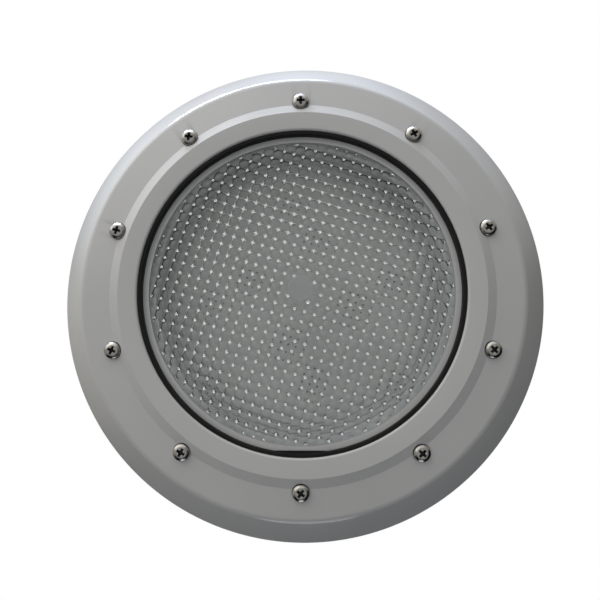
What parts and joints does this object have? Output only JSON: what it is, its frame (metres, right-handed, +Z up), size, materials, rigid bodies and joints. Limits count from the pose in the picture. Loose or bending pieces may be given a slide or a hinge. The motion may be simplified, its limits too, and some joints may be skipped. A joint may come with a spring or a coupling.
{
  "type": "underwater pool light",
  "caption": "Round recessed underwater pool light: grey trim ring clamping a prismatic LED lamp with a black gasket onto a wall housing with rear cable gland.",
  "frame": {"origin": "centre of the wall fixing holes on the wall plane, on the light's optical axis", "axes": "+Y into the wall along the optical axis, so the lens faces -Y; +Z up; +X to the right seen from the pool"},
  "size_m": [0.2808, 0.1529, 0.2808],
  "materials": {
    "trim_abs": "light grey ABS, moulded gloss",
    "housing_abs": "light grey ABS, fine matt texture",
    "lens_clear": "clear moulded polycarbonate, smooth outside, square lenslets inside",
    "lens_rubber": "black EPDM, matt",
    "seal_rubber": "black EPDM, matt",
    "stainless": "A4 stainless steel, bright",
    "brass": "plain brass",
    "black_nylon": "black glass-filled nylon",
    "lamp_white": "white polycarbonate",
    "board_white": "white solder mask on an aluminium board",
    "led_phosphor": "white package with a yellow phosphor window",
    "aluminium": "bare pressed aluminium",
    "board_green": "green solder mask on glass-fibre board",
    "capacitor_sleeve": "dark blue shrink sleeve",
    "ferrite": "ferrite core with an enamelled copper winding",
    "chip_epoxy": "black moulded epoxy",
    "lead_red": "red insulated wire",
    "lead_grey": "dark grey insulated wire"
  },
  "bodies": {
    "wall_housing": {"rear_housing": "housing_abs", "thread_inserts": "brass", "housing_seal": "seal_rubber", "wall_gasket": "seal_rubber", "gland_body": "black_nylon", "gland_washer": "seal_rubber", "gland_locknut": "black_nylon", "gland_bush": "seal_rubber", "gland_nut": "black_nylon"},
    "light_unit": {"trim_ring": "trim_abs", "trim_screws": "stainless", "lens_gasket": "lens_rubber", "lamp_lens": "lens_clear", "clamp_ring": "black_nylon", "clamp_screws": "stainless", "lamp_shell": "lamp_white", "led_board": "board_white", "led_chips": "led_phosphor", "current_regulators": "chip_epoxy", "board_screws": "stainless", "heat_spreader": "aluminium", "driver_spacers": "brass", "driver_board": "board_green", "driver_screws": "stainless", "filter_capacitors": "capacitor_sleeve", "power_inductor": "ferrite", "bridge_rectifier": "chip_epoxy", "driver_chips": "chip_epoxy", "board_leads": "lead_red", "supply_leads": "lead_grey", "rear_cap": "black_nylon", "cap_seal": "seal_rubber", "cap_screws": "stainless", "terminal_posts": "brass", "terminal_washers": "brass", "terminal_screws": "brass"}
  },
  "joints": [
    {"name": "light_unit_withdrawal", "type": "slide", "parent": "wall_housing", "child": "light_unit", "axis": [0, -1, 0], "range_m": [0, 0.125]}
  ]
}
